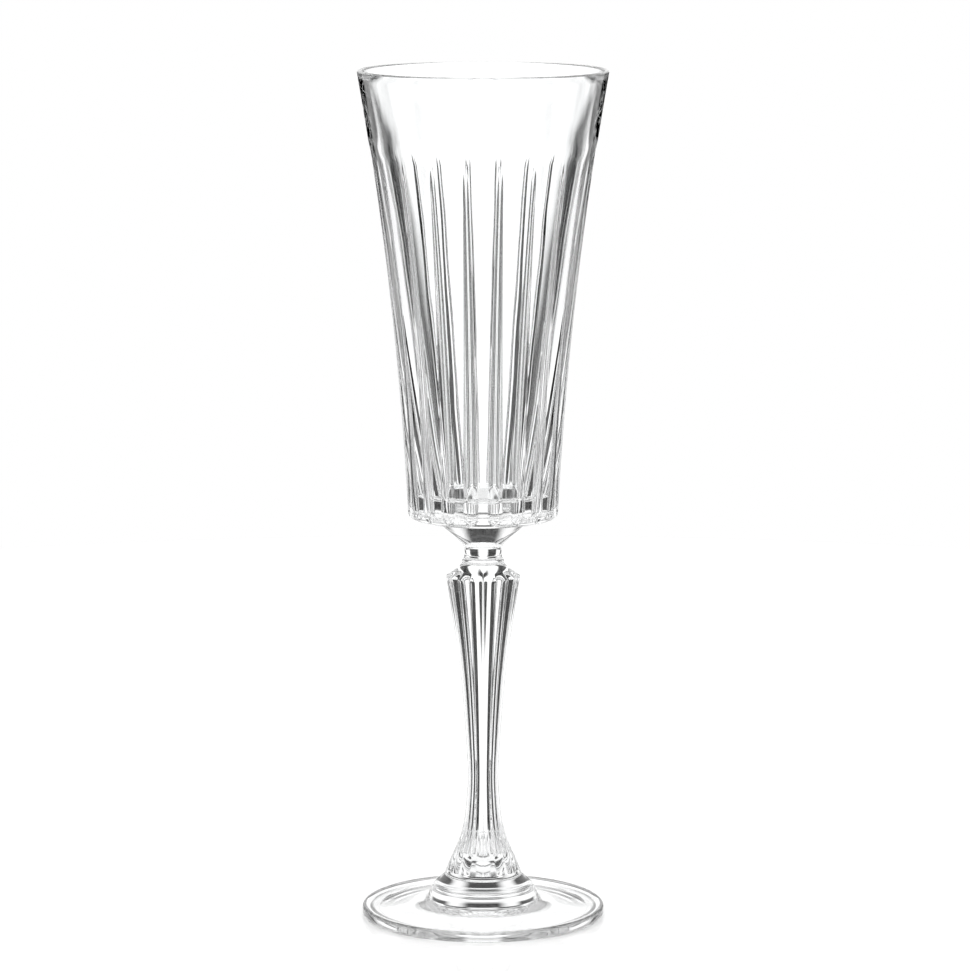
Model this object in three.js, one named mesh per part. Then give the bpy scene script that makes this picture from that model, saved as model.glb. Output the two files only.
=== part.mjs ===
// A cut crystal champagne flute, standing on its foot.
// Millimetres, +Z up. The origin is the centre of the foot's underside, and -Y is the front.
// Five glass pieces are stacked on one axis and fused hot: foot, foot collar, stem, neck wafer, bowl.

import * as THREE from 'three';

// Heights of the joints between the pieces, from the table up.
const footTop = 4.0;
const collarTop = 12.2;
const stemTop = 95.9;
const waferTop = 99.4;
const rimTop = 225.0;

// Foot: a thin disc on a flat resting ring, with a shallow hollow inside the ring.
const footRadius = 32.2;
const footEdgeTop = 2.9;
const footEdgeRound = 0.9;
const footBeadInner = 28.5;
const footBeadDip = 2.42;
const restingInner = 28.0;
const restingOuter = 30.4;
const hollowDepth = 2.1;
const hollowFlatRadius = 10.0;

// Foot collar: a sloping upper ring on a flared lower skirt.
const skirtRadius = 15.3;
const ringRadius = 13.2;
const ringHeight = 8.7;

// Stem: a waisted pillar with a crown at the top, ground into rounded ribs all round.
const stemBaseRadius = 9.8;
const stemWaistRadius = 4.1;
const stemWaistAt = 38.0;
const crownRadius = 10.1;
const crownHeight = 91.3;
const ribCount = 16;
const ribDepth = 0.06;
const ribFade = 0.4;

// Neck wafer between the stem and the bowl, a little wider at its foot.
const neckFootRadius = 5.55;
const neckWaistRadius = 4.93;
const neckTopRadius = 5.12;

// Bowl: thick base on a conical boss, a side that flares and thins as it rises, and a plain upper band.
const baseHeight = 107.2;
const baseEdgeRadius = 1.5;
const bossFootHeight = 100.2;
const bossRadius = 13.3;
const sideStart = 108.7;
const sideRadius = 19.78;
const flareSlope = 0.0502;
const flareCurve = 0.000528;
const bandStart = 202.4;
const bandStep = 0.22;
const bandBlend = 5.0;
const rimWall = 1.3;
const innerSide = [[26.0, 201], [19.9, 164], [14.9, 130]];
const floorHeight = 113.0;
const floorWallRadius = 12.2;
const floorCorner = 2.0;

// Cuts on the bowl: pointed at the top, wider and deeper downwards, with a round lower end.
const cutCount = 20;
const cutTop = 202.0;
const cutFoot = 107.9;
const cutHalfWidthTop = 0.62;
const cutHalfWidthFoot = 1.9;
const cutSteepness = 0.5;
const cutRunOut = 13.0;
const cutFootExtra = 0.4;
const cutFootReach = 14.0;

// How finely the round pieces are divided.
const plainSegments = 72;
const smallSegments = 48;
const columnsPerCut = 6;
const columnsPerRib = 4;

const glass = (colour) => new THREE.MeshStandardMaterial({
  color: colour,
  roughness: 0.03,
  metalness: 0,
  transparent: true,
  opacity: 0.35,
});

const at = (radius, height) => new THREE.Vector2(radius, height);

// Turns a closed outline (radius, height) about the vertical axis.
// carve(radius, angle, height) may move each point to another radius and angle; angle 0 is the front.
function turned(name, colour, outline, segments, carve) {
  const geometry = new THREE.LatheGeometry(outline, segments);
  geometry.deleteAttribute('normal');
  geometry.deleteAttribute('uv');
  const position = geometry.getAttribute('position');
  for (let i = 0; i < position.count; i += 1) {
    const column = Math.floor(i / outline.length) % segments;
    const { x: radius, y: height } = outline[i % outline.length];
    const angle = (column / segments) * 2 * Math.PI;
    const [newRadius, newAngle] = carve ? carve(radius, angle, height) : [radius, angle];
    position.setXYZ(i, newRadius * Math.sin(newAngle), -newRadius * Math.cos(newAngle), height);
  }
  geometry.computeVertexNormals();
  const mesh = new THREE.Mesh(geometry, glass(colour));
  mesh.name = name;
  return mesh;
}

// Points on an arc of a circle, without its first point.
function arc(centreRadius, centreHeight, radius, from, to, steps) {
  const points = [];
  for (let k = 1; k <= steps; k += 1) {
    const angle = THREE.MathUtils.degToRad(from + ((to - from) * k) / steps);
    points.push(at(centreRadius + radius * Math.cos(angle), centreHeight + radius * Math.sin(angle)));
  }
  return points;
}

function makeFoot() {
  const cornerRadius = footRadius - footEdgeRound;
  return turned('foot', 0xeef2f3, [
    at(0, hollowDepth),
    at(hollowFlatRadius, hollowDepth),
    at((hollowFlatRadius + restingInner) / 2, hollowDepth / 2),
    at(restingInner, 0),
    at(restingOuter, 0),
    ...arc(cornerRadius, footEdgeRound, footEdgeRound, -70, 0, 2),
    at(footRadius, footEdgeTop - footEdgeRound),
    ...arc(cornerRadius, footEdgeTop - footEdgeRound, footEdgeRound, 0, 90, 3),
    at(footBeadInner, footBeadDip),
    at((footBeadInner + skirtRadius) / 2, (footBeadDip + footTop) / 2 - 0.35),
    at(skirtRadius, footTop),
    at(0, footTop),
  ], plainSegments);
}

function makeFootCollar() {
  return turned('foot_collar', 0xe9eef0, [
    at(0, footTop),
    at(skirtRadius, footTop),
    at(skirtRadius - 0.4, footTop + 0.4),
    at(skirtRadius - 0.85, footTop + 1.7),
    at(skirtRadius - 1.6, footTop + 3.3),
    at(ringRadius - 0.25, footTop + 3.95),
    at(ringRadius - 0.15, ringHeight - 0.3),
    at(ringRadius - 0.7, ringHeight + 0.25),
    at((ringRadius + stemBaseRadius) / 2 - 0.4, (ringHeight + collarTop) / 2),
    at(stemBaseRadius, collarTop),
    at(0, collarTop),
  ], smallSegments);
}

// Ribs: the surface is full at the crest of each rib and lower in the valley between two ribs.
function carveRib(radius, angle, height) {
  const pitch = (2 * Math.PI) / ribCount;
  const valley = Math.round(angle / pitch) * pitch;
  const share = Math.abs(angle - valley) / (pitch / 2);
  const onPillar = radius > stemWaistRadius * 0.9 && height > collarTop && height < crownHeight + 0.2;
  const shallow = (radius / crownRadius) ** ribFade;
  const depth = onPillar ? radius * ribDepth * shallow * (1 - Math.sin((share * Math.PI) / 2)) : 0;
  return [radius - depth, angle];
}

function makeStem() {
  const pillar = new THREE.SplineCurve([
    at(stemBaseRadius - 0.05, collarTop + 0.4),
    at(8.5, 15.6),
    at(6.6, 19.9),
    at(4.75, 28.6),
    at(stemWaistRadius, stemWaistAt),
    at(4.75, 50.5),
    at(5.8, 63.4),
    at(7.6, 76.4),
    at(9.0, 86.2),
    at(crownRadius - 0.15, crownHeight - 0.9),
  ]);
  return turned('stem', 0xeaf0f2, [
    at(0, collarTop),
    at(stemBaseRadius, collarTop),
    ...pillar.getPoints(14),
    at(crownRadius, crownHeight),
    at(crownRadius - 0.4, crownHeight + 0.5),
    at(neckFootRadius + 0.4, stemTop - 0.9),
    at(neckFootRadius, stemTop),
    at(0, stemTop),
  ], ribCount * columnsPerRib, carveRib);
}

function makeNeckWafer() {
  return turned('neck_wafer', 0xf1f5f6, [
    at(0, stemTop),
    at(neckFootRadius, stemTop),
    at(neckWaistRadius + 0.05, stemTop + 1.0),
    at(neckWaistRadius, stemTop + 1.7),
    at(neckTopRadius, waferTop),
    at(0, waferTop),
  ], smallSegments);
}

const flare = (height) => {
  const rise = height - sideStart;
  const band = THREE.MathUtils.smoothstep(height, bandStart, bandStart + bandBlend) * bandStep;
  return sideRadius + flareSlope * rise + flareCurve * rise * rise + band;
};

// Half the width of a cut at a height, along the surface, without and with its round lower end.
function cutHalfWidth(height) {
  if (height <= cutFoot || height >= cutTop) {
    return [0, 0];
  }
  const share = (cutTop - height) / (cutTop - cutFoot);
  const full = cutHalfWidthTop + (cutHalfWidthFoot - cutHalfWidthTop) * share;
  const roundEnd = Math.min(1, (height - cutFoot) / cutHalfWidthFoot);
  return [full, full * Math.sqrt(1 - (1 - roundEnd) ** 2)];
}

// Six columns of the bowl's side follow each cut: its middle, its slopes, its edges and the land beside it.
function carveCut(radius, angle, height) {
  const onSide = radius > flare(height) - baseEdgeRadius / 2;
  const [full, half] = cutHalfWidth(height);
  if (!onSide || half === 0) {
    return [radius, angle];
  }
  const pitch = (2 * Math.PI) / cutCount;
  const middle = (Math.floor(angle / pitch + 1e-6) + 0.5) * pitch;
  const share = ((angle - middle) / pitch) * 2;
  const edge = 1 - 2 / columnsPerCut;
  const across = Math.min(1, Math.abs(share) / edge);
  const beyond = Math.max(0, Math.abs(share) - edge) / (1 - edge);
  const halfAngle = half / radius;
  const offset = across * halfAngle + beyond * (pitch / 2 - halfAngle);
  const run = Math.min(1, (cutTop - height) / cutRunOut);
  const deeper = Math.max(0, 1 - (height - cutFoot) / cutFootReach);
  const steepness = cutSteepness * run * (2 - run) * (1 + cutFootExtra * deeper ** 2);
  const depth = steepness * Math.sqrt(half * full) * (1 - across ** 2);
  return [radius - depth, middle + Math.sign(share) * offset];
}

function makeBowl() {
  const lip = rimWall / 2;
  const lipHeight = rimTop - lip;
  const outline = [
    at(0, waferTop),
    at(neckTopRadius, waferTop),
    at(neckTopRadius + 0.5, bossFootHeight),
    at(bossRadius - 0.8, baseHeight - 0.6),
    at(bossRadius, baseHeight),
    at(sideRadius - baseEdgeRadius, baseHeight),
    ...arc(sideRadius - baseEdgeRadius, baseHeight + baseEdgeRadius, baseEdgeRadius, -90, 0, 4),
  ];
  const sideHeights = [111, 122, 138, 156, 176, 192, 199.5, cutTop, bandStart + bandBlend, 215];
  sideHeights.forEach((height) => outline.push(at(flare(height), height)));
  outline.push(at(flare(lipHeight), lipHeight));
  outline.push(...arc(flare(lipHeight) - lip, lipHeight, lip, 0, 180, 4));
  const inside = new THREE.SplineCurve([
    at(flare(lipHeight) - rimWall, lipHeight),
    ...innerSide.map(([radius, height]) => at(radius, height)),
    at(floorWallRadius, floorHeight + floorCorner),
  ]);
  outline.push(...inside.getPoints(7).slice(1));
  outline.push(...arc(floorWallRadius - floorCorner, floorHeight + floorCorner, floorCorner, 0, -90, 2));
  outline.push(at(0, floorHeight));
  return turned('bowl', 0xf3f7f8, outline, cutCount * columnsPerCut, carveCut);
}

const flute = new THREE.Group();
flute.add(makeFoot());
flute.add(makeFootCollar());
flute.add(makeStem());
flute.add(makeNeckWafer());
flute.add(makeBowl());

export default flute;
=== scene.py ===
# %% [markdown]
# # A cut crystal champagne flute
#
# The flute is five pieces of clear crystal fused on one axis: a foot, a stepped collar, a ribbed stem,
# a short neck wafer and a tall cut bowl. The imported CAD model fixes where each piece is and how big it
# is. This script turns each piece again with a fine, polished surface, because refraction shows every
# facet of a coarse mesh.

# %% Load the frame and keep its size
import math
import bpy
import numpy as np
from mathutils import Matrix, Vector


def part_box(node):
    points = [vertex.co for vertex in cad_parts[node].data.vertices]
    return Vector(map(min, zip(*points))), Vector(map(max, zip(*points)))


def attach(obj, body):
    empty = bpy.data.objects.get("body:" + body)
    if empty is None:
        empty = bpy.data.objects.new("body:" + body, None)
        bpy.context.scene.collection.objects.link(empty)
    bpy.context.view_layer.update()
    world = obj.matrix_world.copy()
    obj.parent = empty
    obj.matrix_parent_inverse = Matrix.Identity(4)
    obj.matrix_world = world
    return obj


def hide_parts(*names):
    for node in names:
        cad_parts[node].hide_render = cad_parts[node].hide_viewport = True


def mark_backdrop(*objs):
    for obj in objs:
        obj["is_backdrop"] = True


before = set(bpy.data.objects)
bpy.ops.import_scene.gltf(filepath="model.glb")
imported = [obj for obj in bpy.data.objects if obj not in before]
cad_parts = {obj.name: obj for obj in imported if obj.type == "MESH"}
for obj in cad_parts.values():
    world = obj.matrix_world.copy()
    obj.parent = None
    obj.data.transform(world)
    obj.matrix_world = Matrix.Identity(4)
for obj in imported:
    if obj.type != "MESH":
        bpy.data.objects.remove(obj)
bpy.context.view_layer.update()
MM = 0.001

# %% [markdown]
# ## Heights and radii from the frame
#
# Each joint height and outer radius is read from the CAD node's own box, so the polished pieces meet
# exactly where the solids do. The values are kept in millimetres, because a glass cutter thinks in
# millimetres, and they become metres only when a mesh is made.

# %% Measure the nodes
def span(node):
    """Lowest height, highest height and outer radius of a node, in millimetres."""
    low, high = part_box(node)
    return low.z / MM, high.z / MM, high.x / MM


_, FOOT_TOP, FOOT_R = span("foot")
_, COLLAR_TOP, SKIRT_R = span("foot_collar")
_, STEM_TOP, CROWN_R = span("stem")
_, WAFER_TOP, NECK_R = span("neck_wafer")
_, RIM_TOP, _ = span("bowl")
print("joints at", [round(v, 2) for v in (FOOT_TOP, COLLAR_TOP, STEM_TOP, WAFER_TOP, RIM_TOP)])

# %% [markdown]
# ## Turning a profile
#
# Round glass could be made with the Screw modifier, but the bowl and stem also carry cuts that change
# their width on the way up. So one helper turns an outline into rings of points and lets a carve
# function push each point inwards. The first and last outline points lie on the axis and become single
# points, which closes the solid with no overlapping faces.

# %% A helper that turns and carves
SHARP_ANGLE = 32


def turn(name, outline, columns, carve=None):
    """A closed body from an outline of (radius, height) pairs in millimetres, first and last on the axis."""
    rings = np.array(outline[1:-1], float)
    angle = np.arange(columns) * 2 * math.pi / columns
    radius = np.repeat(rings[:, :1], columns, axis=1)
    height = np.repeat(rings[:, 1:], columns, axis=1)
    turned = np.repeat(angle[None, :], len(rings), axis=0)
    depth = np.zeros_like(radius)
    if carve:
        radius, turned, depth = carve(radius, turned, height)
    points = np.stack([radius * np.sin(turned), -radius * np.cos(turned), height], axis=-1).reshape(-1, 3)
    bottom, top = len(points), len(points) + 1
    points = np.vstack([points, [0, 0, outline[0][1]], [0, 0, outline[-1][1]]]) * MM
    faces = []
    for row in range(len(rings) - 1):
        for k in range(columns):
            after = (k + 1) % columns
            a, b = row * columns + k, row * columns + after
            faces.append((a, b, b + columns, a + columns))
    last = (len(rings) - 1) * columns
    for k in range(columns):
        after = (k + 1) % columns
        faces.append((bottom, after, k))
        faces.append((top, last + k, last + after))
    mesh = bpy.data.meshes.new(name)
    mesh.from_pydata(points.tolist(), [], faces)
    mesh.shade_smooth()
    mesh.set_sharp_from_angle(angle=math.radians(SHARP_ANGLE))
    mark = mesh.attributes.new("cut_depth", "FLOAT", "POINT")
    mark.data.foreach_set("value", np.append(depth.reshape(-1), [0, 0]).astype(np.float32))
    piece = bpy.data.objects.new(name, mesh)
    bpy.context.scene.collection.objects.link(piece)
    print(name, "has", len(mesh.polygons), "faces")
    return piece


def arc(centre, radius, start, end, steps):
    """Points on a round-over, start and end in degrees, without the first point."""
    turns = [math.radians(start + (end - start) * k / steps) for k in range(1, steps + 1)]
    return [(centre[0] + radius * math.cos(t), centre[1] + radius * math.sin(t)) for t in turns]


def smooth_line(knots, steps):
    """A smooth line through a few (radius, height) knots, with the same steps between each pair."""
    knots = np.array(knots, float)
    padded = np.vstack([2 * knots[0] - knots[1], knots, 2 * knots[-1] - knots[-2]])
    line = []
    for k in range(len(knots) - 1):
        p0, p1, p2, p3 = padded[k:k + 4]
        for t in np.arange(steps) / steps:
            line.append(tuple(0.5 * (2 * p1 + (p2 - p0) * t + (2 * p0 - 5 * p1 + 4 * p2 - p3) * t * t
                                     + (3 * p1 - p0 - 3 * p2 + p3) * t ** 3)))
    return line + [tuple(knots[-1])]


# %% [markdown]
# ## The foot
#
# The foot is a thin disc, spun flat while hot and ground on its underside so that only a ring touches
# the table. A cylinder would show a hard edge. The outline here rounds both corners of the edge and
# keeps a low bead just inside it, which draws a second line along the rim. The top rises gently to the
# collar, and the hollow underside draws the faint rings seen through the disc.

# %% Turn the foot
RESTING_INNER = 28.0
RESTING_OUTER = 30.4
HOLLOW_DEPTH = 2.1
EDGE_TOP = 2.9
EDGE_ROUND = 0.9
PLAIN_COLUMNS = 256

corner_r = FOOT_R - EDGE_ROUND
hollow = smooth_line([
    (0, HOLLOW_DEPTH), (6, HOLLOW_DEPTH), (12, HOLLOW_DEPTH * 0.92), (20, HOLLOW_DEPTH * 0.45),
    (RESTING_INNER - 1, 0.08), (RESTING_INNER, 0)], 6)
edge = [(RESTING_OUTER, 0)] + arc((corner_r, EDGE_ROUND), EDGE_ROUND, -70, 0, 12)
edge += arc((corner_r, EDGE_TOP - EDGE_ROUND), EDGE_ROUND, 0, 90, 14)
foot_top = smooth_line([(corner_r - 0.3, EDGE_TOP), (28.5, 2.42), (24.5, 2.55), (19.5, 3.05),
                        (SKIRT_R + 0.8, FOOT_TOP - 0.22), (SKIRT_R, FOOT_TOP)], 6)
foot = turn("foot_disc", hollow + edge + foot_top + [(0, FOOT_TOP)], PLAIN_COLUMNS)

# %% [markdown]
# ## The collar on the foot
#
# A stepped button joins the stem to the foot. Its lower tier is a short, slightly flared wall, and its
# upper ring is a small rounded edge below the slope to the stem. An undercut parts the two tiers,
# because a dark band appears only where the glass really curves.

# %% Turn the collar
RING_R = 13.2
RING_HEIGHT = 8.7
RING_ROUND = 0.8
STEM_BASE_R = 9.8

skirt = smooth_line([
    (SKIRT_R, FOOT_TOP), (14.95, 4.3), (14.7, 4.9), (14.45, 5.7), (14.15, 6.5), (13.7, 7.3),
    (12.95, 7.95)], 6)
ring = arc((RING_R - RING_ROUND, RING_HEIGHT - 0.75), RING_ROUND, -20, 62, 9)
slope = smooth_line([(12.5, 9.0), (11.8, 9.6), (11.0, 10.4), (10.3, 11.2), (STEM_BASE_R, COLLAR_TOP)], 6)
collar = turn("collar_button", [(0, FOOT_TOP)] + skirt + ring + slope + [(0, COLLAR_TOP)], PLAIN_COLUMNS)

# %% [markdown]
# ## The ribbed stem
#
# The waisted stem is ground into sixteen rounded ribs with narrow valleys between them. They could be
# sixteen curved rods joined together, but the stem narrows to a waist and the ribs grow narrower and
# shallower with it. So the carve function works on the angle: it leaves the crest of each rib alone,
# lowers the surface towards the valley, and gathers the columns of points at the valley, where the
# surface turns most.

# %% Turn the stem and grind its ribs
RIBS = 16
RIB_DEPTH = 0.066
RIB_FADE = 0.4
VALLEY_SOFTNESS = 0.16
VALLEY_GATHER = 1.25
CROWN_HEIGHT = 91.3
CROWN_RUNOUT = 2.2
STEM_COLUMNS = RIBS * 20


def soft_floor(depth, softness):
    """The depth where it is positive, blended softly to zero where it isn't."""
    return 0.5 * (depth + np.sqrt(depth * depth + softness * softness))


def grind_ribs(radius, angle, height):
    pitch = 2 * math.pi / RIBS
    middle = np.round(angle / pitch) * pitch
    share = (angle - middle) / (pitch / 2)
    squeezed = np.sign(share) * np.abs(share) ** VALLEY_GATHER
    hump = np.sqrt(np.sin(np.abs(squeezed) * math.pi / 2) ** 2 + VALLEY_SOFTNESS ** 2)
    top = math.sqrt(1 + VALLEY_SOFTNESS ** 2)
    on_pillar = (height > COLLAR_TOP) & (height < STEM_TOP) & (radius > NECK_R * 0.7)
    above = np.clip((height - CROWN_HEIGHT) / CROWN_RUNOUT, 0, 1)
    fade = np.where(on_pillar, 1 - above, 0)
    shallow = (radius / CROWN_R) ** RIB_FADE
    depth = radius * RIB_DEPTH * shallow * (top - hump) * fade
    return radius - depth, middle + squeezed * pitch / 2, depth


pillar = smooth_line([(STEM_BASE_R, COLLAR_TOP + 0.02), (9.45, 13.2), (8.45, 15.6), (6.6, 19.9), (5.35, 24.4),
                      (4.72, 28.6), (4.16, 35.5), (4.15, 40.5), (4.48, 46.0), (5.12, 54.7), (5.9, 63.4),
                      (6.95, 72.0), (8.2, 80.6), (9.05, 86.0), (CROWN_R - 0.06, CROWN_HEIGHT - 0.4)], 8)
crown = arc((CROWN_R - 0.45, CROWN_HEIGHT - 0.05), 0.45, 0, 50, 4)
shoulder = smooth_line([(9.0, 92.05), (6.9, 93.6), (5.7, 94.9), (NECK_R, STEM_TOP)], 8)
stem = turn("ribbed_stem", [(0, COLLAR_TOP), (STEM_BASE_R, COLLAR_TOP)] + pillar + crown + shoulder
            + [(0, STEM_TOP)], STEM_COLUMNS, grind_ribs)

# %% [markdown]
# ## The neck wafer
#
# Between stem and bowl sits a small waisted wafer of glass, the merese. It is a plain turned piece.
# Keeping it apart from the stem lets its two fusing lines show as thin rings.

# %% Turn the neck wafer
NECK_TOP_R = 5.12

waist = smooth_line([
    (NECK_R, STEM_TOP), (5.2, 96.3), (4.98, 96.9), (4.93, 97.6), (5.0, 98.6), (NECK_TOP_R, WAFER_TOP)], 6)
neck = turn("neck_merese", [(0, STEM_TOP)] + waist + [(0, WAFER_TOP)], PLAIN_COLUMNS)
print("neck wafer from", STEM_TOP, "to", WAFER_TOP)

# %% [markdown]
# ## The bowl
#
# The bowl is thick glass, and its inside narrows faster than its outside: the wall is about 1.3 mm at
# the rim and 8 mm at the floor. Twenty cuts with a rounded section start as points under a plain rim
# band, widen and deepen downwards, and stop in round ends just above the base. Boolean cutters could
# make them, but the mesh would not line up with the cuts. So the columns of the mesh follow the edges
# of each cut here, and the points between them are lowered. The section is a plain parabola, chosen
# because the lines that it draws look right.

# %% The bowl's side, wall and cuts
SIDE_START = 108.7
SIDE_R = 19.78
FLARE_SLOPE = 0.0502
FLARE_CURVE = 0.000528
BAND_START = 202.4
BAND_STEP = 0.22
BAND_BLEND = 5.0
RIM_WALL = 1.3
FLOOR_HEIGHT = 113.0
FLOOR_R = 12.2
FLOOR_CORNER = 2.0
BASE_HEIGHT = 107.2
BASE_EDGE = 1.5
BOSS_R = 13.1
CUTS = 20
CUT_TOP = 202.0
CUT_FOOT = 107.9
CUT_HALF_TOP = 0.62
CUT_HALF_FOOT = 1.9
CUT_STEEPNESS = 0.5
CUT_FOOT_EXTRA = 0.4
CUT_FOOT_REACH = 14.0
CUT_POINT = 4.0
CUT_RUNOUT = 13.0
CUT_EDGE_SOFTNESS = 0.03
GUIDE_WIDTH = 0.4
GUIDE_RUNOUT = 18.0
BOSS_ROUND = 0.9
ACROSS = np.array([0, 0.22, 0.44, 0.64, 0.80, 0.90, 0.97, 1.04, 1.14, 1.3])
LAND_STEPS = 3


def flare(height):
    rise = np.asarray(height, float) - SIDE_START
    t = np.clip((height - BAND_START) / BAND_BLEND, 0, 1)
    return SIDE_R + FLARE_SLOPE * rise + FLARE_CURVE * rise ** 2 + t * t * (3 - 2 * t) * BAND_STEP


def cut_half_width(height):
    share = np.clip((CUT_TOP - height) / (CUT_TOP - CUT_FOOT), 0, 1)
    point = np.clip((CUT_TOP - height) / CUT_POINT, 0, 1)
    end = np.clip((height - CUT_FOOT) / CUT_HALF_FOOT, 0, 1)
    taper = CUT_HALF_TOP + (CUT_HALF_FOOT - CUT_HALF_TOP) * share
    full = taper * (0.6 + 0.4 * point) * (point > 0)
    return full, full * np.sqrt(1 - (1 - end) ** 2)


COLUMNS_PER_CUT = 2 * (len(ACROSS) - 1 + LAND_STEPS)


def cut_side(radius, angle, height):
    """Lowers the outer side along each cut; the inside and the rim band keep their round section."""
    pitch = 2 * math.pi / CUTS
    middle = (np.floor(angle / pitch + 1e-6) + 0.5) * pitch
    place = np.rint((angle - middle) / pitch * COLUMNS_PER_CUT).astype(int)
    outer = radius > flare(height) - BASE_EDGE * 0.75
    full, half = (np.where(outer, width, 0) for width in cut_half_width(height))
    guide = np.maximum(half, GUIDE_WIDTH) / radius
    steps = np.abs(place)
    inner_part = guide * ACROSS[np.minimum(steps, len(ACROSS) - 1)]
    beyond = np.clip(steps - (len(ACROSS) - 1), 0, LAND_STEPS) / LAND_STEPS
    follow = inner_part + beyond * (pitch / 2 - guide * ACROSS[-1])
    even = steps / COLUMNS_PER_CUT * pitch
    release = np.where(outer, np.clip((height - CUT_TOP) / GUIDE_RUNOUT, 0, 1), 1)
    offset = follow * (1 - release) + even * release
    reach = offset * radius
    wide = np.maximum(half, 0.01)
    run = np.clip((CUT_TOP - height) / CUT_RUNOUT, 0, 1)
    deeper = np.clip(1 - (height - CUT_FOOT) / CUT_FOOT_REACH, 0, 1)
    steep = CUT_STEEPNESS * run * (2 - run) * (1 + CUT_FOOT_EXTRA * deeper ** 2)
    section = soft_floor(1 - (reach / wide) ** 2, CUT_EDGE_SOFTNESS)
    depth = np.sqrt(wide * full) * steep * section * (half > 0)
    return radius - depth, middle + np.sign(place) * offset, depth


# %% Turn the bowl
heights = np.concatenate([
    np.arange(SIDE_START + 0.15, 112.5, 0.2), np.arange(112.5, 190, 2.4), np.arange(190, 206, 0.6),
    np.arange(206, RIM_TOP - 1.2, 1.8)])
lip = RIM_WALL / 2
lip_middle = (float(flare(RIM_TOP - lip)) - lip, RIM_TOP - lip)
inner_side = smooth_line([
    (lip_middle[0] - lip, RIM_TOP - lip), (28.75, 213), (26.0, 201), (22.6, 183), (19.9, 164),
    (17.3, 146), (14.9, 130), (FLOOR_R, FLOOR_HEIGHT + FLOOR_CORNER)], 5)
corner_middle = (FLOOR_R - FLOOR_CORNER, FLOOR_HEIGHT + FLOOR_CORNER)
boss = [(0, WAFER_TOP), (NECK_TOP_R, WAFER_TOP)] + smooth_line([
    (NECK_TOP_R + 0.04, 99.5), (5.44, 99.96), (5.9, 100.5), (6.55, 101.05), (7.85, 102.2), (9.0, 103.2),
    (10.2, 104.3), (11.6, 105.6), (BOSS_R - 0.3, 106.7)], 3)
outline = boss + arc((BOSS_R + 0.5, BASE_HEIGHT - BOSS_ROUND), BOSS_ROUND, 130, 90, 4)
outline += arc((SIDE_R - BASE_EDGE, SIDE_START), BASE_EDGE, -92, 0, 12)
outline += [(float(flare(h)), h) for h in heights]
outline += arc(lip_middle, lip, 0, 180, 12)
outline += inner_side[1:-1]
outline += arc(corner_middle, FLOOR_CORNER, 0, -90, 9)
outline += [(corner_middle[0] * share, FLOOR_HEIGHT) for share in (0.75, 0.5, 0.25)] + [(0, FLOOR_HEIGHT)]
bowl = turn("cut_bowl", outline, CUTS * COLUMNS_PER_CUT, cut_side)

# %% [markdown]
# ## Hand polish
#
# Cut crystal is polished by hand or in acid, so no surface is perfectly even: it carries slow ripples,
# and the cuts keep a trace of haze. A node group makes this once, and every glass material uses it with
# its own values. It puts out a roughness and a height, and the shader stays in each material.

# %% Node group: polish
def add_node(tree, kind, **values):
    """A new node. A value whose name is a socket of the node sets that socket; others set the node itself."""
    made = tree.nodes.new(kind)
    for key, value in values.items():
        label = key.replace("_", " ").title()
        if label in made.inputs:
            made.inputs[label].default_value = value
        else:
            setattr(made, key, value)
    return made


WIPE_SCALE = 420.0
POLISHED_CUT_DEPTH = 0.3
HAZE_IN_CUT = 0.35


def make_polish_group():
    group = bpy.data.node_groups.new("Hand polish", "ShaderNodeTree")
    face = group.interface
    for name, low in (("Ripple Scale", 90.0), ("Haze", 0.02), ("Cut Depth", 0.0)):
        socket = face.new_socket(name=name, in_out="INPUT", socket_type="NodeSocketFloat")
        socket.default_value = low
    face.new_socket(name="Roughness", in_out="OUTPUT", socket_type="NodeSocketFloat")
    face.new_socket(name="Height", in_out="OUTPUT", socket_type="NodeSocketFloat")
    face.new_socket(name="Tint", in_out="OUTPUT", socket_type="NodeSocketColor")
    given = group.nodes.new("NodeGroupInput")
    result = group.nodes.new("NodeGroupOutput")
    place = group.nodes.new("ShaderNodeTexCoord")
    stretch = add_node(group, "ShaderNodeMapping")
    stretch.inputs["Scale"].default_value = (1.0, 1.0, 0.25)
    group.links.new(place.outputs["Object"], stretch.inputs["Vector"])
    ripple = add_node(group, "ShaderNodeTexNoise", detail=1.0, roughness=0.4)
    group.links.new(stretch.outputs["Vector"], ripple.inputs["Vector"])
    group.links.new(given.outputs["Ripple Scale"], ripple.inputs["Scale"])
    wipe = add_node(group, "ShaderNodeTexNoise", scale=WIPE_SCALE, detail=2.0)
    group.links.new(place.outputs["Object"], wipe.inputs["Vector"])
    in_cut = add_node(group, "ShaderNodeMapRange")
    in_cut.inputs["From Max"].default_value = POLISHED_CUT_DEPTH
    in_cut.inputs["To Min"].default_value = HAZE_IN_CUT
    group.links.new(given.outputs["Cut Depth"], in_cut.inputs["Value"])
    haze = add_node(group, "ShaderNodeMath", operation="MULTIPLY")
    group.links.new(wipe.outputs["Fac"], haze.inputs[0])
    group.links.new(given.outputs["Haze"], haze.inputs[1])
    rough = add_node(group, "ShaderNodeMath", operation="MULTIPLY")
    group.links.new(haze.outputs[0], rough.inputs[0])
    group.links.new(in_cut.outputs["Result"], rough.inputs[1])
    tint = add_node(group, "ShaderNodeMix", data_type="RGBA")
    tint.inputs["A"].default_value = (0.990, 0.994, 0.995, 1)
    tint.inputs["B"].default_value = (0.975, 0.981, 0.983, 1)
    group.links.new(ripple.outputs["Fac"], tint.inputs["Factor"])
    group.links.new(rough.outputs[0], result.inputs["Roughness"])
    group.links.new(ripple.outputs["Fac"], result.inputs["Height"])
    group.links.new(tint.outputs["Result"], result.inputs["Tint"])
    return group


polish = make_polish_group()
print("group sockets:", [item.name for item in polish.interface.items_tree])

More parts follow.
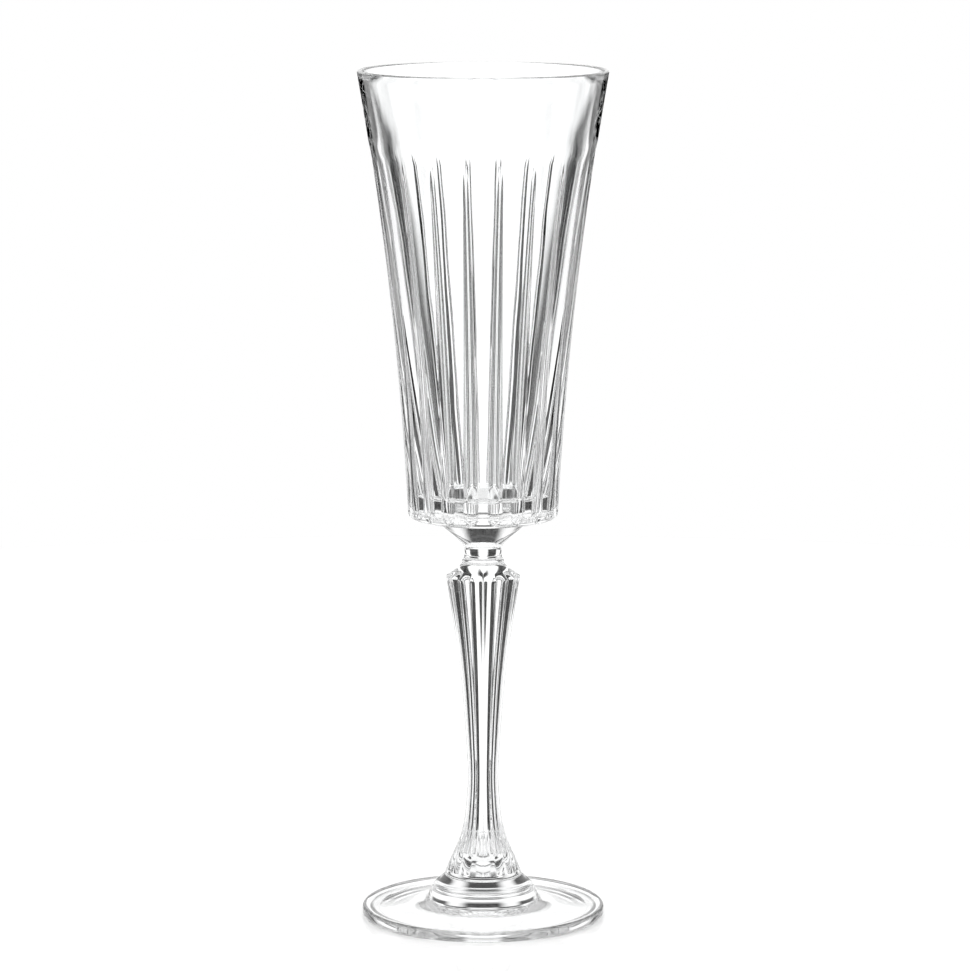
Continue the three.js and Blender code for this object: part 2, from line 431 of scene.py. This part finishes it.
# %% [markdown]
# ## Crystal
#
# Crystal bends light a little more than window glass, which is what makes the cuts draw dark and bright
# lines. The Glass BSDF would do, but the Principled shader with full Transmission also exports well.
# Each piece has its own crystal, with a different ripple: the spun foot is smooth, the cut bowl
# isn't. Where two pieces are fused there is no surface at all, so the joint faces get a clear seam.

# %% Materials
CRYSTAL_IOR = 1.54


def make_crystal(name, ripple_scale, ripple_height, haze):
    material = bpy.data.materials.new(name)
    material.use_nodes = True
    tree = material.node_tree
    shader = tree.nodes["Principled BSDF"]
    shader.inputs["Transmission Weight"].default_value = 1.0
    shader.inputs["IOR"].default_value = CRYSTAL_IOR
    shader.inputs["Metallic"].default_value = 0.0
    marks = tree.nodes.new("ShaderNodeGroup")
    marks.node_tree = polish
    marks.inputs["Ripple Scale"].default_value = ripple_scale
    marks.inputs["Haze"].default_value = haze
    cut = add_node(tree, "ShaderNodeAttribute", attribute_name="cut_depth")
    tree.links.new(cut.outputs["Fac"], marks.inputs["Cut Depth"])
    tree.links.new(marks.outputs["Tint"], shader.inputs["Base Color"])
    tree.links.new(marks.outputs["Roughness"], shader.inputs["Roughness"])
    bump = add_node(tree, "ShaderNodeBump", strength=1.0, distance=ripple_height * MM)
    tree.links.new(marks.outputs["Height"], bump.inputs["Height"])
    tree.links.new(bump.outputs["Normal"], shader.inputs["Normal"])
    return material


def make_seam():
    material = bpy.data.materials.new("Fused seam")
    material.use_nodes = True
    tree = material.node_tree
    tree.nodes.remove(tree.nodes["Principled BSDF"])
    clear = add_node(tree, "ShaderNodeBsdfTransparent")
    tree.links.new(clear.outputs["BSDF"], tree.nodes["Material Output"].inputs["Surface"])
    return material


seam = make_seam()
crystals = {
    foot: make_crystal("Foot crystal", 60.0, 0.02, 0.010),
    collar: make_crystal("Collar crystal", 110.0, 0.02, 0.010),
    stem: make_crystal("Stem crystal", 260.0, 0.03, 0.016),
    neck: make_crystal("Neck crystal", 110.0, 0.01, 0.010),
    bowl: make_crystal("Bowl crystal", 180.0, 0.035, 0.014),
}

# %% [markdown]
# ## Clear the fused joints
#
# A light ray must not refract where two fused pieces meet. Every face that lies flat on a joint height
# inside the neck or collar is given the clear seam, and all other faces keep the crystal.

# %% Put the materials on
JOINTS = (FOOT_TOP, COLLAR_TOP, STEM_TOP, WAFER_TOP)


def dress(piece):
    piece.data.materials.append(crystals[piece])
    piece.data.materials.append(seam)
    count = 0
    for face in piece.data.polygons:
        level = face.center.z / MM
        flat = abs(face.normal.z) > 0.999
        if flat and any(abs(level - joint) < 0.01 for joint in JOINTS):
            face.material_index = 1
            count += 1
    print(piece.name, "has", count, "seam faces")


for piece in crystals:
    dress(piece)

# %% [markdown]
# ## Tie the pieces to the frame
#
# Each polished piece rides on the only body and takes the place of its CAD node, which is hidden.
# Nothing moves on a flute.

# %% Ride and replace
for piece, node, slot in (
    (foot, "foot", "foot_glass"),
    (collar, "foot_collar", "collar_glass"),
    (stem, "stem", "stem_glass"),
    (neck, "neck_wafer", "neck_glass"),
    (bowl, "bowl", "bowl_glass"),
):
    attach(piece, "root")
    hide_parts(node)

# %% [markdown]
# ## The table
#
# Glass is shown on a glossy white table that merges with the white surround. A disc is enough. It is
# slightly glossy, so the foot leaves a faint mirror image below its edge. Rays bent by the glass pass
# through the disc and reach the studio light, so the lines in the stem don't stop where the edge of the
# disc happens to be. A real table would stop them.

# %% Make the table
TABLE_R = 0.6
TABLE_SIDES = 96
TABLE_GAP = 0.05
TABLE_WHITE = 0.96


def make_table():
    mesh = bpy.data.meshes.new("white_table")
    turns = [math.tau * k / TABLE_SIDES for k in range(TABLE_SIDES)]
    edge_points = [(TABLE_R * math.cos(t), TABLE_R * math.sin(t), -TABLE_GAP * MM) for t in turns]
    mesh.from_pydata(edge_points, [], [tuple(range(TABLE_SIDES))])
    table = bpy.data.objects.new("white_table", mesh)
    bpy.context.scene.collection.objects.link(table)
    material = bpy.data.materials.new("White table")
    material.use_nodes = True
    tree = material.node_tree
    shader = tree.nodes["Principled BSDF"]
    grain = add_node(tree, "ShaderNodeTexNoise", scale=30.0, detail=2.0)
    sheen = add_node(tree, "ShaderNodeMapRange")
    sheen.inputs["To Min"].default_value = 0.06
    sheen.inputs["To Max"].default_value = 0.10
    tree.links.new(grain.outputs["Fac"], sheen.inputs["Value"])
    tree.links.new(sheen.outputs["Result"], shader.inputs["Roughness"])
    ray = tree.nodes.new("ShaderNodeLightPath")
    solid = add_node(tree, "ShaderNodeMath", operation="SUBTRACT")
    solid.inputs[0].default_value = 1.0
    tree.links.new(ray.outputs["Is Transmission Ray"], solid.inputs[1])
    tree.links.new(solid.outputs[0], shader.inputs["Alpha"])
    shader.inputs["Base Color"].default_value = (TABLE_WHITE, TABLE_WHITE, TABLE_WHITE, 1)
    mesh.materials.append(material)
    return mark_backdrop(table)


make_table()
print("table radius", TABLE_R)

# %% [markdown]
# ## The studio
#
# Clear glass has no colour of its own, so it is drawn by what it bends into view. Below the horizon
# the studio is a ring of eight soft panels with dark gaps between them. Above it the light is white,
# apart from two rings of dark bars, and overhead is a soft light. Straight through the glass one sees a
# panel, and at its edges and cuts one sees a gap or a bar, from every side alike. What the camera sees
# directly is plain white, and so is what the glass and the table mirror. A real studio can't part its
# light like this: its bars would show in the gloss too.

# %% Build the studio light
PANELS = 8
PANEL_LIGHT = 1.22
GAP_LIGHT = 0.0
PANEL_EDGE = 0.12
PANEL_BLUR = 0.40
UPPER_FROM = (0.02, 0.05)
UPPER_LIGHT = 1.1
BAR_LIGHT = 0.02
LOW_BAR = (0.000, 0.010, 0.205, 0.235)
HIGH_BAR = (0.330, 0.350, 0.640, 0.680)
BAR_EDGE = (-1.15, 0.2)
FLOOR_BELOW = (-0.86, -0.74)
TOP_LIGHT = 1.3
TOP_FROM = (0.70, 0.80)
DOME_LIGHT = 1.32


def make_studio():
    world = bpy.data.worlds.new("White studio")
    world.use_nodes = True
    world.cycles.sampling_method = "NONE"
    bpy.context.scene.world = world
    tree = world.node_tree
    tree.nodes.clear()
    link = tree.links.new

    def ramp(value, start, end, low, high):
        made = add_node(tree, "ShaderNodeMapRange", interpolation_type="SMOOTHSTEP")
        for label, number in (("From Min", start), ("From Max", end), ("To Min", low), ("To Max", high)):
            made.inputs[label].default_value = number
        link(value, made.inputs["Value"])
        return made.outputs["Result"]

    def blend(share, low, high):
        made = add_node(tree, "ShaderNodeMix", data_type="FLOAT")
        link(share, made.inputs["Factor"])
        for label, value in (("A", low), ("B", high)):
            if isinstance(value, float):
                made.inputs[label].default_value = value
            else:
                link(value, made.inputs[label])
        return made.outputs["Result"]

    place = tree.nodes.new("ShaderNodeTexCoord")
    axes = tree.nodes.new("ShaderNodeSeparateXYZ")
    link(place.outputs["Generated"], axes.inputs[0])
    bearing = add_node(tree, "ShaderNodeMath", operation="ARCTAN2")
    link(axes.outputs["Y"], bearing.inputs[0])
    link(axes.outputs["X"], bearing.inputs[1])
    times = add_node(tree, "ShaderNodeMath", operation="MULTIPLY")
    link(bearing.outputs[0], times.inputs[0])
    times.inputs[1].default_value = PANELS
    wave = add_node(tree, "ShaderNodeMath", operation="COSINE")
    link(times.outputs[0], wave.inputs[0])
    panels = ramp(wave.outputs[0], PANEL_EDGE - PANEL_BLUR, PANEL_EDGE + PANEL_BLUR, GAP_LIGHT, PANEL_LIGHT)
    bar_across = ramp(wave.outputs[0], *BAR_EDGE, 0.0, 1.0)

    def bar(low_out, low_in, high_in, high_out):
        rise = ramp(axes.outputs["Z"], low_out, low_in, 0.0, 1.0)
        fall = ramp(axes.outputs["Z"], high_in, high_out, 1.0, 0.0)
        both = add_node(tree, "ShaderNodeMath", operation="MULTIPLY")
        link(rise, both.inputs[0])
        link(fall, both.inputs[1])
        placed = add_node(tree, "ShaderNodeMath", operation="MULTIPLY")
        link(both.outputs[0], placed.inputs[0])
        link(bar_across, placed.inputs[1])
        return placed.outputs[0]

    above = ramp(axes.outputs["Z"], *UPPER_FROM, 0.0, 1.0)
    top = ramp(axes.outputs["Z"], *TOP_FROM, 0.0, 1.0)
    below = ramp(axes.outputs["Z"], *FLOOR_BELOW, 1.0, 0.0)
    ray = tree.nodes.new("ShaderNodeLightPath")
    upper = blend(bar(*LOW_BAR), UPPER_LIGHT, BAR_LIGHT)
    upper = blend(bar(*HIGH_BAR), upper, BAR_LIGHT)
    seen = blend(above, panels, upper)
    seen = blend(top, seen, TOP_LIGHT)
    seen = blend(below, seen, 1.0)
    mirrored = add_node(tree, "ShaderNodeMath", operation="SUBTRACT", use_clamp=True)
    link(ray.outputs["Is Glossy Ray"], mirrored.inputs[0])
    link(ray.outputs["Is Transmission Ray"], mirrored.inputs[1])
    upwards = add_node(tree, "ShaderNodeMath", operation="MULTIPLY")
    link(mirrored.outputs[0], upwards.inputs[0])
    link(above, upwards.inputs[1])
    seen = blend(upwards.outputs[0], seen, 1.0)
    seen = blend(ray.outputs["Diffuse Depth"], seen, DOME_LIGHT)
    seen = blend(ray.outputs["Is Camera Ray"], seen, 1.0)
    light = add_node(tree, "ShaderNodeBackground", color=(1, 1, 1, 1))
    link(seen, light.inputs["Strength"])
    out = tree.nodes.new("ShaderNodeOutputWorld")
    link(light.outputs["Background"], out.inputs["Surface"])
    return world


make_studio()
scene = bpy.context.scene
scene.view_settings.view_transform = "Standard"
scene.cycles.max_bounces = 32
scene.cycles.transmission_bounces = 32
scene.cycles.glossy_bounces = 16
scene.cycles.transparent_max_bounces = 24
print("studio with", PANELS, "panels")

# %% [markdown]
# ## The camera
#
# A long lens from about 1.2 m keeps the flute's sides nearly parallel. The camera looks about nine
# degrees down, so the far edge of the rim and the top of the foot just show.

# %% Place the camera
CAMERA_DISTANCE = 1.1803
CAMERA_HEIGHT = 0.30246
CAMERA_SIDE = 0.0005
LOOK_DOWN = 8.995
LENS = 168.17


def make_camera():
    data = bpy.data.cameras.new("camera")
    data.lens = LENS
    data.sensor_width = 36.0
    data.clip_start = 0.05
    camera = bpy.data.objects.new("camera", data)
    camera.location = (CAMERA_SIDE, -CAMERA_DISTANCE, CAMERA_HEIGHT)
    camera.rotation_euler = (math.radians(90 - LOOK_DOWN), 0, 0)
    scene.collection.objects.link(camera)
    scene.camera = camera
    return camera


make_camera()
